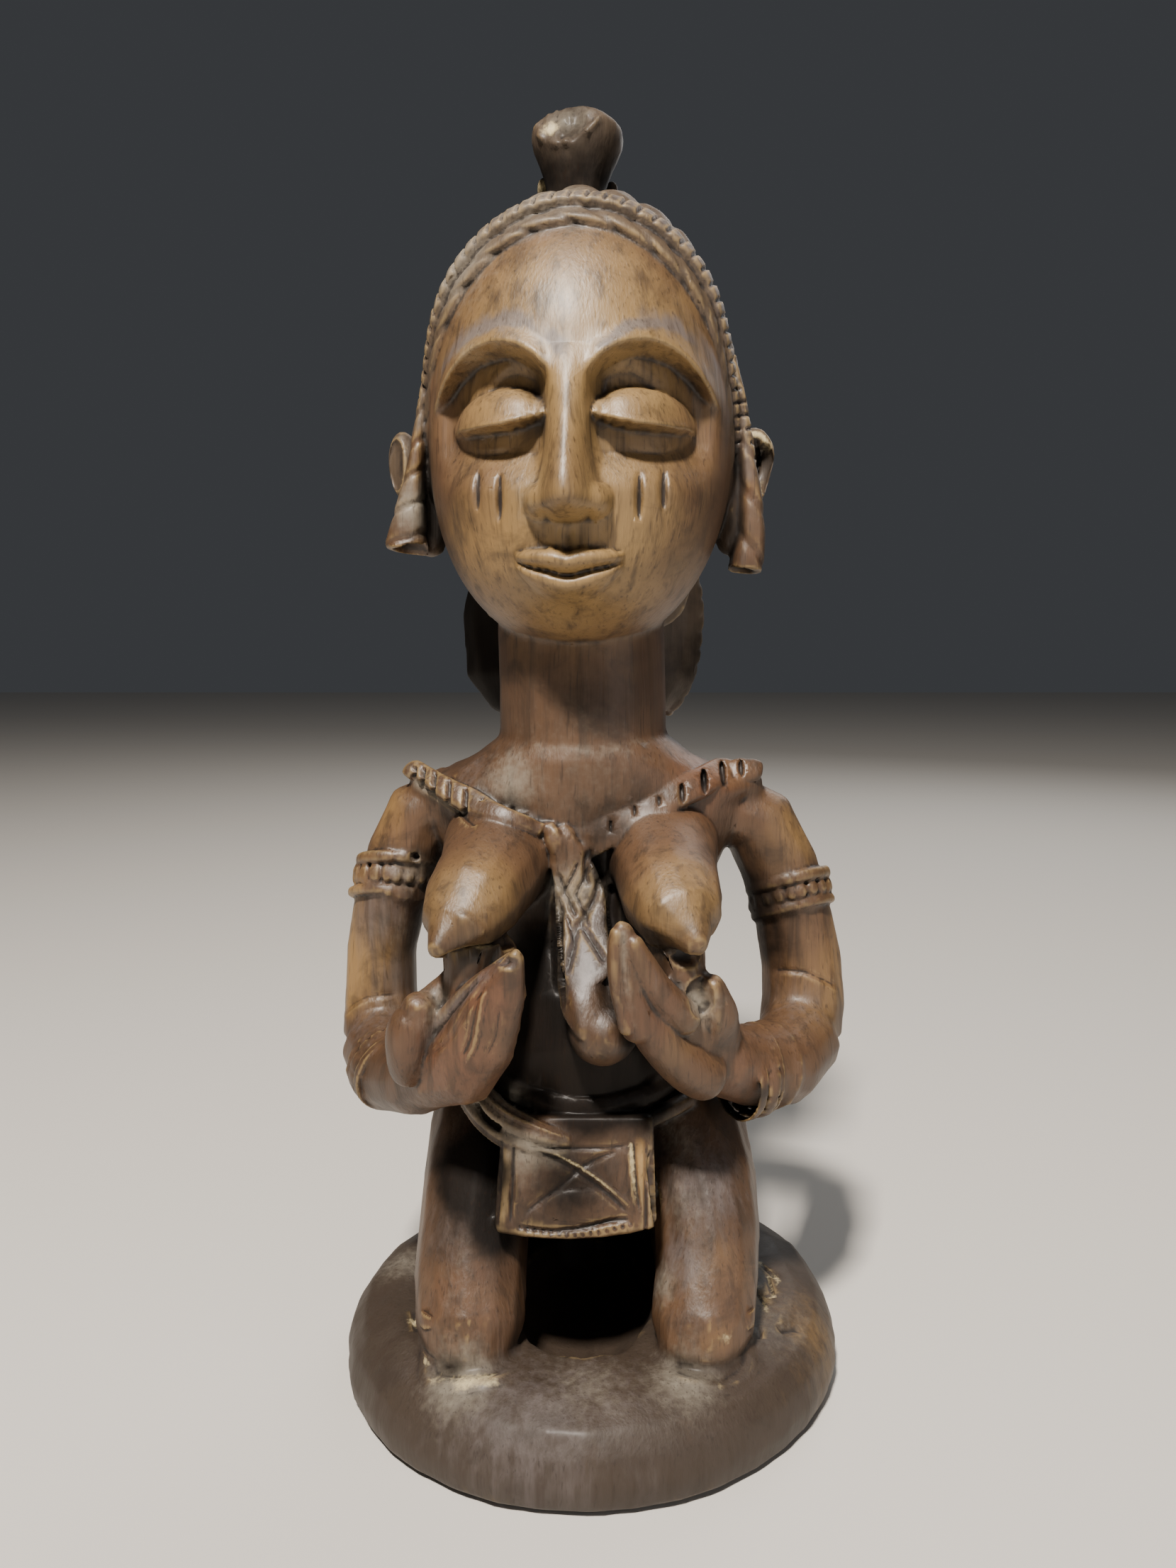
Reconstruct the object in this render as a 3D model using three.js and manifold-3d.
// A kneeling woman carved with her round base from one block of hardwood, her hands
// cupped under her breasts. Millimetres, +Z up, +X to the viewer's right, facing -Y.
// The origin is the centre of the flat underside.
import * as THREE from "three";
import { mergeVertices } from "three/addons/utils/BufferGeometryUtils.js";
import Module from "manifold-3d";

const wasm = await Module();
wasm.setup();

// Driving dimensions
const BASE_HEIGHT = 21;
const BASE_RADIUS = 65.3;
const HOLLOW_FLOOR = 7; // wood left under the hollow between the legs
const HEAD = { x: -1.5, y: 4, z: 243, wide: 38.5, deep: 43.5, high: 54.5 }; // centre, half sizes
const HEAD_TURN = 4; // degrees, the face turned a little to the viewer's left
const HAIR_RISE = 3.5; // the cap of hair above the skin
const HAIRLINE = { back: -12.5, lean: -0.38 }; // the hairline's plane, from the head's centre
const NECK_RADIUS = 21.5;
const BELT_Z = 75.5;
const APRON = { x: -2.8, y: -25.5, top: 76, wide: 38, high: 28, thick: 5, slope: 0.3 };
const WOOD = new THREE.MeshStandardMaterial({ color: 0x6b4a2e, roughness: 0.45, metalness: 0 });

// The closed solid of a geometry, with its doubled corners merged.
function solid(geometry) {
  const bare = geometry.index ? geometry.toNonIndexed() : geometry.clone();
  bare.deleteAttribute("normal");
  bare.deleteAttribute("uv");
  const merged = mergeVertices(bare, 1e-4);
  const corners = merged.index.array;
  const kept = [];
  for (let i = 0; i < corners.length; i += 3) {
    const [a, b, c] = [corners[i], corners[i + 1], corners[i + 2]];
    if (a !== b && b !== c && c !== a) kept.push(a, b, c);
  }
  return new wasm.Manifold(
    new wasm.Mesh({
      numProp: 3,
      vertProperties: new Float32Array(merged.attributes.position.array),
      triVerts: new Uint32Array(kept),
    }),
  );
}

function join(parts) {
  return parts.reduce((whole, part) => whole.add(part));
}

// Moves every corner of a geometry by a function of its place.
function reshape(geometry, move) {
  const place = geometry.attributes.position;
  const point = new THREE.Vector3();
  for (let i = 0; i < place.count; i++) {
    move(point.fromBufferAttribute(place, i));
    place.setXYZ(i, point.x, point.y, point.z);
  }
  return geometry;
}

// An ellipsoid, turned about X, Y and Z by angles in radians.
function ball(centre, half, turn = [0, 0, 0], around = 8, rings = 6) {
  const geometry = new THREE.SphereGeometry(1, around, rings);
  geometry.rotateX(Math.PI / 2).scale(...half);
  geometry.rotateX(turn[0]).rotateY(turn[1]).rotateZ(turn[2]);
  return solid(geometry.translate(...centre));
}

// A rounded limb along a smooth curve. A station is x, y, z, the half width across and the
// half thickness on the side that `front` faces.
function limb(stations, { around = 10, steps = 6, cap = 2, front = [0, -1, 0], blunt = 1 } = {}) {
  const at = (values) => new THREE.Vector3(...values);
  const path = new THREE.CatmullRomCurve3(stations.map((s) => at(s.slice(0, 3))));
  const girth = new THREE.CatmullRomCurve3(stations.map((s) => at([s[3], s[4] ?? s[3], 0])));
  const geometry = new THREE.CapsuleGeometry(1, 1, cap, around, steps);
  return solid(
    reshape(geometry, (p) => {
      const t = THREE.MathUtils.clamp(p.y + 0.5, 0, 1);
      const beyond = p.y + 0.5 - t;
      const along = path.getTangent(t);
      const across = at(front).cross(along).normalize();
      const out = along.clone().cross(across);
      const { x: wide, y: thick } = girth.getPoint(t);
      const [a, b] = [p.x * wide, p.z * thick];
      p.copy(path.getPoint(t));
      p.addScaledVector(along, beyond * Math.min(wide, thick) * blunt);
      p.addScaledVector(across, a).addScaledVector(out, -b);
    }),
  );
}

// A ring of round section about a centre, with its own half sizes, tilted about X and Y.
function ring(centre, [halfX, halfY], thick, [tiltX, tiltY], around = 12, sides = 4) {
  const middle = (halfX + halfY) / 2;
  const geometry = new THREE.TorusGeometry(middle, thick, sides, around);
  geometry.scale(halfX / middle, halfY / middle, 1).rotateX(tiltX).rotateY(tiltY);
  return solid(geometry.translate(...centre));
}

// The round base, a little uneven in plan, with the hollow cleared between the legs
function base() {
  const [T, R] = [BASE_HEIGHT, BASE_RADIUS];
  const profile = [[0, 0], [R - 3.5, 0], [R - 0.8, 2], [R, 7], [R - 1.5, 13], [R - 5, 17.8]];
  profile.push([R - 12, T], [0, T - 1]);
  const lathe = new THREE.LatheGeometry(profile.map(([r, z]) => new THREE.Vector2(r, z)), 40);
  reshape(lathe.rotateX(Math.PI / 2), (p) => {
    const angle = Math.atan2(p.y, p.x);
    const lobes = 1.6 * Math.cos(angle) - 2.6 * Math.sin(angle) + 1.4 * Math.sin(2 * angle);
    p.multiply(new THREE.Vector3(1 + lobes / R, 1 + lobes / R, 1));
  });
  const depth = T - 2 - HOLLOW_FLOOR;
  return solid(lathe).subtract(ball([-1.5, -11, T - 2], [18.5, 30, depth], [0, 0, 0], 16, 6));
}

// Thigh, calf and foot; the calf is laid back along the base under the thigh
const THIGHS = {
  left: [[-23, 5, 70, 17], [-27, -8, 60, 15.5, 17], [-28.5, -18, 48, 14, 15.5],
    [-29.2, -26, 37, 14.2, 13.8], [-28.8, -34, 25.5, 13.4, 12.4]],
  right: [[23, 5, 70, 17], [27.5, -8, 60, 15.5, 17], [30, -18, 48, 13.8, 15.5],
    [30, -25, 38, 13, 14], [28, -34, 25.5, 12.8, 12.4]],
};

function leg(side, thigh) {
  const up = { front: [0, 0, 1] };
  const calf = [[28.5, -28, 27, 11, 9], [29, -10, 31, 12, 13], [28, 8, 34, 12, 16],
    [25, 34, 29, 9, 10]];
  const foot = [[25, 32, 29, 8, 8], [23, 46, 27, 9, 7], [21.5, 55, 23.5, 8.5, 4]];
  const mirrored = (list) => list.map(([x, ...rest]) => [side * x, ...rest]);
  return join([
    limb(thigh, { around: 12, steps: 5 }),
    limb(mirrored(calf), { ...up, around: 9, steps: 4, cap: 1 }),
    limb(mirrored(foot), { ...up, around: 8, steps: 3, cap: 1 }),
  ]);
}

// Hips, belly, chest and shoulders in one form, with the buttocks, the wood left between the
// calves, the neck, the pointed navel and the strands that hang from the necklace
function trunk() {
  const body = limb(
    [[-1, 9, 60, 37, 22], [-1, 3, 75, 29, 26], [-1, 0, 88, 26, 29], [-1, 1, 101, 25, 27],
      [-1, 4, 115, 28, 22], [-1, 4, 130, 34, 20.5], [-1, 3.5, 143, 40, 21.5], [-1, 3, 154, 42.5, 22],
      [-1, 2, 161, 30, 22.5], [-1, 2, 167, 22.5, 21]],
    { around: 18, steps: 12, cap: 1, blunt: 0.3 },
  );
  const neck = limb([[-1.2, 2, 160, 21.8, 21], [-1.5, 2, 180, NECK_RADIUS, 21],
    [-2, 3, 204, NECK_RADIUS, 21]], { around: 20, steps: 2, cap: 1, blunt: 0.2 });
  const navel = limb([[-1.5, -20, 124, 3.5, 3], [-1, -26, 114, 7, 6], [-0.6, -33, 106, 6.5, 6.5],
    [-0.4, -39, 101, 3, 3]], { around: 6, steps: 4, cap: 1 });
  const betweenCalves = ball([0, 28, 38], [22, 14, 20]);
  const strands = limb([[-4, -15.5, 146, 6, 3], [-1.5, -19.5, 124, 4.5, 3]],
    { around: 6, steps: 2, cap: 1 });
  return join([
    body,
    ...[-1, 1].map((side) => ball([side * 17, 24, 58], [20, 19, 19], [0, 0, 0], 12, 7)),
    betweenCalves,
    neck,
    navel,
    strands,
  ]);
}

// Arms and breasts. The two sides differ as the carver left them, so each has its own stations.
const ARMS = {
  left: {
    upper: [[-36, 6, 149, 10], [-43, 6, 147, 9.8], [-47.5, 6, 139, 10], [-51, 6, 128, 10],
      [-54.5, 6, 117, 9.5], [-56, 7, 106, 9.5], [-56, 6, 96, 9.8], [-55.5, 3, 87, 10.5]],
    fore: [[-55, 4, 90, 8], [-54, -3, 84.8, 11], [-49.5, -13, 82.5, 11],
      [-42, -24, 85.5, 10], [-34, -34, 90.5, 8.5]],
    hand: [[-36, -33, 89, 8.5, 8], [-27, -42, 94, 8.5, 6.5], [-22.8, -46, 104, 7.4, 4.5],
      [-19, -49, 113, 5.8, 3.8], [-15.8, -51, 123, 2, 2]],
    thumb: [[-38, -32, 91, 7, 7], [-40, -38, 100, 6.6, 6], [-39, -41, 107.5, 4.6, 4.4]],
    web: [[-31, -37, 96, 7, 6], [-28.5, -39, 110, 5, 5], [-26.5, -37, 122, 8, 7]],
    breast: [[-21, -6, 137.5, 13.5, 12.5], [-24, -22, 135, 12.8, 12.5], [-27.5, -34, 130.5, 11.6, 10.8],
      [-30, -41, 127, 9, 7.4]],
    nipple: [-33.8, -46, 122],
    armlet: { at: [-52, 6.2, 127.5], tilt: [0.03, 0.38] },
    bracelet: { at: [-51.5, -9.5, 83], tilt: [-1.1, -1.15] },
  },
  right: {
    upper: [[36, 6, 148, 10], [44, 6, 145, 10.3], [49.5, 6, 136, 10.4], [53.2, 6, 125, 10.2],
      [56.4, 7, 113, 10.6], [58, 7, 103, 11], [58, 5, 94, 11.2], [57, 3, 88, 11.2]],
    fore: [[57, 4, 93, 8.5], [55.5, -3, 87, 11.4], [49, -12, 84, 11.2], [40, -21, 86.5, 10],
      [31, -30, 92, 8.8]],
    hand: [[32, -29, 91, 8.5, 8], [24, -37, 97, 8, 6.5], [16.8, -43, 105.5, 7, 4.8],
      [12, -47, 114, 5.8, 4], [7.4, -50, 129, 2.3, 2.2]],
    thumb: [[31, -31, 97, 6, 6], [30.5, -38, 106, 4.6, 5.5], [28.6, -41.5, 113, 3, 3.5]],
    web: [[26, -36, 100, 5, 6], [23, -39, 110, 5, 6], [20, -37, 123, 7.5, 7]],
    breast: [[19.5, -6, 137, 13.8, 12.5], [19, -20, 135, 13, 12.5], [19.8, -33, 131.5, 12, 11.4],
      [21, -41, 128.5, 9.8, 8.8]],
    nipple: [23.6, -48, 125],
    armlet: { at: [54, 6.2, 123.5], tilt: [0.03, -0.3] },
    bracelet: { at: [45, -16, 84.8], tilt: [0.76, -1.3] },
  },
};

function arm({ upper, fore, hand, thumb, web, breast, nipple, armlet, bracelet }) {
  const up = { front: [0, 0, 1] };
  const [fullest, tip] = [breast.at(-1), [...nipple, 2, 2]];
  return join([
    limb(upper, { around: 11, steps: 6, cap: 1 }),
    limb(fore, { ...up, around: 12, steps: 4, cap: 1 }),
    limb(hand, { around: 8, steps: 5, cap: 1 }),
    limb(thumb, { around: 8, steps: 2 }),
    limb(web, { around: 6, steps: 2, cap: 1 }),
    limb(breast, { ...up, around: 12, steps: 3, cap: 1 }),
    limb([fullest, tip], { ...up, around: 8, steps: 1, cap: 1 }),
    ring(armlet.at, [9.8, 9.8], 2.2, armlet.tilt),
    ring(bracelet.at, [10.2, 10.2], 1.8, bracelet.tilt),
  ]);
}

// Belt of cords round the waist and the square apron that hangs from it
function dress() {
  const belt = ring([-1, 2.5, BELT_Z], [29.5, 27.5], 3.4, [0.09, 0], 20, 5);
  const { x, y, top, wide, high, thick, slope } = APRON;
  const outline = new THREE.Shape();
  outline.moveTo(-wide / 2 + 1, 0);
  outline.lineTo(-wide / 2 - 0.5, -high + 1);
  outline.quadraticCurveTo(0, -high - 3, wide / 2, -high + 2);
  outline.lineTo(wide / 2 - 0.5, 0);
  outline.closePath();
  const cloth = new THREE.ExtrudeGeometry(outline, {
    depth: thick,
    curveSegments: 6,
    bevelEnabled: false,
  });
  cloth.rotateX(Math.PI / 2 - slope).translate(x, y, top);
  return [belt, solid(cloth)];
}

// The necklace: a raised band from each shoulder to a point between the breasts
function necklace() {
  const flat = { around: 6, steps: 4, cap: 1, front: [0, -0.7, 0.7] };
  return join([
    limb([[-44.5, 3, 156, 3.6, 2.6], [-32, -9, 153, 3.8, 2.6], [-18, -15, 149.5, 3.8, 2.6],
      [-5, -17.5, 142, 3.4, 2.4]], flat),
    limb([[43.5, 2, 155.5, 3.8, 2.6], [29, -9, 154, 3.8, 2.6], [14, -14.5, 151.5, 3.8, 2.6],
      [0, -17.5, 144, 3.4, 2.4]], flat),
  ]);
}

// The head's skin from a unit sphere: an egg whose lower face is carried forward to the chin.
function headForm(p, rise) {
  const { wide, deep, high } = HEAD;
  const level = p.z;
  const around = Math.hypot(p.x, p.y) || 1;
  const [side, back] = [p.x / around, p.y / around];
  const full = level < 0 ? 2 + 1.6 * Math.max(0, -back) : 2.1;
  const round = Math.sqrt(Math.max(0, 1 - Math.abs(level) ** full));
  const carried = level < 0 ? -5 * level * level * round : 0;
  p.x = side * round * (wide + rise);
  p.y = back * round * (deep + rise) + carried;
  p.z = level * (high + rise * 0.8);
}

function skull(rise, around, rings) {
  const sphere = new THREE.SphereGeometry(1, around, rings).rotateX(Math.PI / 2);
  return solid(reshape(sphere, (p) => headForm(p, rise)));
}

// Plain carved face: sockets under arched brows, a long nose, lowered lids and full lips
function face(head) {
  const wedge = { around: 6, steps: 3, cap: 1 };
  const sockets = [-1, 1].map((side) =>
    ball([side * 16.5, -42.5, 4], [11.5, 8, 8.5], [0, 0, side * 0.3]));
  const features = [
    limb([[0, -40, 14, 5, 3], [0, -44, 0, 4, 4], [0, -48, -14, 5, 5], [0, -47, -21, 6, 4]],
      { ...wedge, around: 8 }),
    limb([[-11, -40, -35.5, 1.6, 1.6], [0, -43.5, -33.8, 3, 2.2], [11, -40, -35.5, 1.6, 1.6]],
      wedge),
    limb([[-10, -40, -37.5, 1.6, 1.6], [0, -42.5, -39.5, 3.2, 2.6], [10, -40, -37.5, 1.6, 1.6]],
      wedge),
  ];
  for (const side of [-1, 1]) {
    features.push(ball([side * 6, -43.5, -20.5], [4.2, 4, 3.4], [0, 0, 0], 8, 4));
    features.push(ball([side * 16.5, -37.5, -0.5], [9.6, 4.6, 5], [0.25, 0, side * 0.32], 8, 5));
  }
  return join([sockets.reduce((whole, socket) => whole.subtract(socket), head), ...features]);
}

// Hair: a cap behind the hairline, the band along it, tresses, ears, crests and nape
function hair() {
  const { back, lean } = HAIRLINE;
  const cut = new THREE.BoxGeometry(140, 140, 220).translate(0, -70, 0);
  cut.rotateX(-Math.atan(lean)).translate(0, back, 0);
  const cap = skull(HAIR_RISE, 22, 14).subtract(solid(cut));
  const nape = limb([[-2, 26, -8, 27, 8], [-2, 29, -28, 35, 15], [-2, 29, -46, 34.5, 14],
    [-2.5, 26, -62, 32.5, 11], [-2.5, 25, -71, 25, 8]], { around: 12, steps: 4, cap: 1 });
  const parts = [cap, nape];
  for (const side of [-1, 1]) {
    const drop = side < 0 ? 0.8 : -0.8; // the tresses stand out more on the viewer's left
    const tress = [[39.5, 1, 10, 4, 8], [42.5, 2, -5, 4.4, 8.5], [43.5 + drop, 2, -20, 4.8, 8],
      [43.5 + drop, 1, -29, 4.6, 6]];
    const crest = [[8 - side * 2.4, 12, 64.5, 4.2, 4.4], [7.5, 19, 57.5, 4.5, 4.6],
      [7.5, 26, 49.5, 4.5, 4.5], [7.5, 38, 33, 4.5, 4.5],
      [7.5, 46, 8, 4.5, 4.5], [7.5, 46, -14, 4.5, 4.5], [7.5, 42, -34, 4.5, 4.5]];
    const mirrored = (list) => list.map(([x, ...rest]) => [side * x, ...rest]);
    parts.push(limb(mirrored(tress), { around: 8, steps: 3 }));
    parts.push(limb(mirrored(crest), { around: 6, steps: 6, cap: 1, front: [0, 1, 0] }));
    const ear = [side * 45.5 - 1, 13.5 + 1.5 * side, -4];
    parts.push(ball(ear, [6, 6.5, 9.5], [0, side * 0.12, side * 0.3]));
  }
  return parts;
}

// The topknot, its front broken off across the grain at a slant
function topknot() {
  const stem = limb([[-0.8, 3, 52, 10.5, 11], [-0.8, 3.5, 60, 7.4, 8], [-0.8, 4, 67, 9, 9.4],
    [-0.8, 4.5, 73, 10.8, 11], [-0.8, 4.8, 78, 9.8, 9.8]], { around: 12, steps: 4 });
  const fracture = new THREE.BoxGeometry(60, 60, 20).translate(0, 0, 10);
  fracture.rotateX(0.62).rotateY(-0.1).translate(-1, 3, 78);
  return stem.subtract(solid(fracture));
}

function head() {
  const whole = join([face(skull(0, 22, 15)), ...hair(), topknot()]);
  return whole.rotate([0, 0, -HEAD_TURN]).translate([HEAD.x, HEAD.y, HEAD.z]);
}

const figure = join([
  base(),
  leg(-1, THIGHS.left),
  leg(1, THIGHS.right),
  trunk(),
  arm(ARMS.left),
  arm(ARMS.right),
  ...dress(),
  necklace(),
  head(),
]);

function geometryOf(whole) {
  const { numVert, numProp, vertProperties, triVerts } = whole.getMesh();
  const corners = new Float32Array(numVert * 3);
  for (let i = 0; i < numVert; i++) {
    corners.set(vertProperties.subarray(i * numProp, i * numProp + 3), i * 3);
  }
  const geometry = new THREE.BufferGeometry();
  geometry.setAttribute("position", new THREE.BufferAttribute(corners, 3));
  geometry.setIndex(new THREE.BufferAttribute(new Uint32Array(triVerts), 1));
  geometry.computeVertexNormals();
  return geometry;
}

const carving = new THREE.Mesh(geometryOf(figure), WOOD);
carving.name = "kneeling_figure";
const statuette = new THREE.Group();
statuette.add(carving);
export default statuette;
